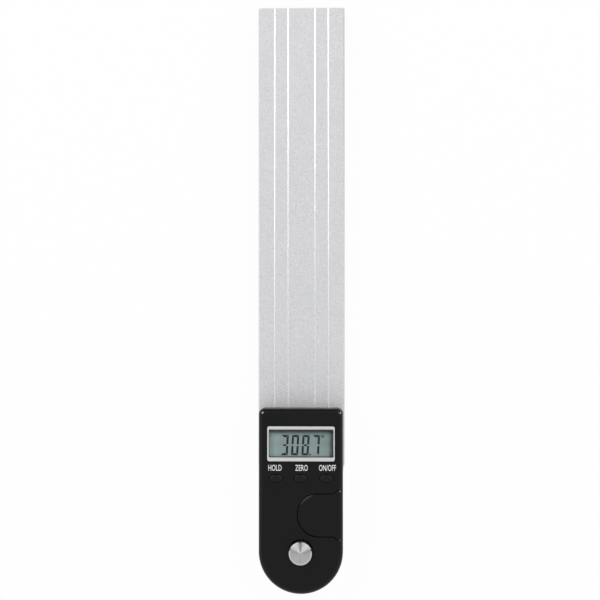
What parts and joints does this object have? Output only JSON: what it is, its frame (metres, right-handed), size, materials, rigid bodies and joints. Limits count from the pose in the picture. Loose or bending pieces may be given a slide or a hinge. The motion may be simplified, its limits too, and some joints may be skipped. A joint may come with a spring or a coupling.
{
  "type": "digital angle finder",
  "caption": "Digital angle finder: twin grooved bars turning on one pivot under a black head with display, push buttons, sliding cell cover and a turned lock knob.",
  "frame": {"origin": "on the pivot axis, at the back face that the folded tool lies on", "axes": "+Y along the folded arms towards their tips, +Z out of the display, +X to the reader's right"},
  "size_m": [0.032, 0.2162, 0.0235],
  "materials": {
    "arm_anodised": "satin clear anodised extrusion",
    "housing_black": "fine satin moulded texture",
    "button_black": "satin moulded",
    "bezel_silver": "silver coated",
    "window_clear": "clear acrylic",
    "display_glass": "grey-green reflective liquid crystal cell",
    "holder_white": "moulded",
    "strip_rubber": "matte silicone",
    "board_green": "solder mask",
    "screw_steel": "zinc plated",
    "resin_black": "cast resin",
    "can_bright": "bright nickel",
    "contact_nickel": "nickel plated strip",
    "spring_steel": "bright spring strip",
    "shaft_steel": "turned",
    "bush_brass": "turned",
    "washer_nylon": "natural nylon",
    "ribbon_amber": "polyimide film",
    "knob_turned": "face turned, rim polished"
  },
  "bodies": {
    "head": {"base_arm": "arm_anodised", "front_cover": "housing_black", "cover_screws": "screw_steel", "battery_cell": "can_bright", "battery_contact_negative": "contact_nickel", "battery_contact_positive": "contact_nickel", "display_bezel": "bezel_silver", "display_window": "window_clear", "lcd_panel": "display_glass", "lcd_holder": "holder_white", "contact_strip": "strip_rubber", "circuit_board": "board_green", "processor_chip": "resin_black", "clock_crystal": "can_bright", "hold_dome": "spring_steel", "zero_dome": "spring_steel", "power_dome": "spring_steel", "pivot_bush": "bush_brass", "encoder_stator": "board_green", "encoder_cable": "ribbon_amber", "bent_spring": "spring_steel"},
    "swing": {"swing_arm": "arm_anodised", "pivot_shaft": "shaft_steel", "thrust_washer": "washer_nylon", "encoder_rotor": "board_green"},
    "keyed_washer": {"clamp_washer": "shaft_steel"},
    "knob": {"lock_knob": "knob_turned"},
    "hold_key": {"hold_button": "button_black"},
    "zero_key": {"zero_button": "button_black"},
    "power_key": {"power_button": "button_black"},
    "cell_cover": {"battery_cover": "housing_black"}
  },
  "joints": [
    {"name": "arm_pivot", "type": "hinge", "parent": "head", "child": "swing", "pos_m": [0, 0, 0.005], "axis": [0, 0, 1], "continuous": true},
    {"name": "washer_lift", "type": "slide", "parent": "swing", "child": "keyed_washer", "axis": [0, 0, 1], "range_m": [0, 0.00035], "deforming": ["bent_spring"]},
    {"name": "knob_turn", "type": "hinge", "parent": "keyed_washer", "child": "knob", "pos_m": [0, 0, 0.01815], "axis": [0, 0, 1], "range_deg": [0, 180]},
    {"name": "hold_press", "type": "slide", "parent": "head", "child": "hold_key", "axis": [0, 0, -1], "range_m": [0, 0.0003], "stiffness_N_per_m": 1500, "springref_m": -0.0003, "deforming": ["hold_dome"]},
    {"name": "zero_press", "type": "slide", "parent": "head", "child": "zero_key", "axis": [0, 0, -1], "range_m": [0, 0.0003], "stiffness_N_per_m": 1500, "springref_m": -0.0003, "deforming": ["zero_dome"]},
    {"name": "power_press", "type": "slide", "parent": "head", "child": "power_key", "axis": [0, 0, -1], "range_m": [0, 0.0003], "stiffness_N_per_m": 1500, "springref_m": -0.0003, "deforming": ["power_dome"]},
    {"name": "cover_slide", "type": "slide", "parent": "head", "child": "cell_cover", "axis": [1, 0, 0], "range_m": [0, 0.0137]}
  ],
  "couplings": [
    {"joint": "knob_turn", "follows": "washer_lift", "rad_per_m": 8976}
  ]
}
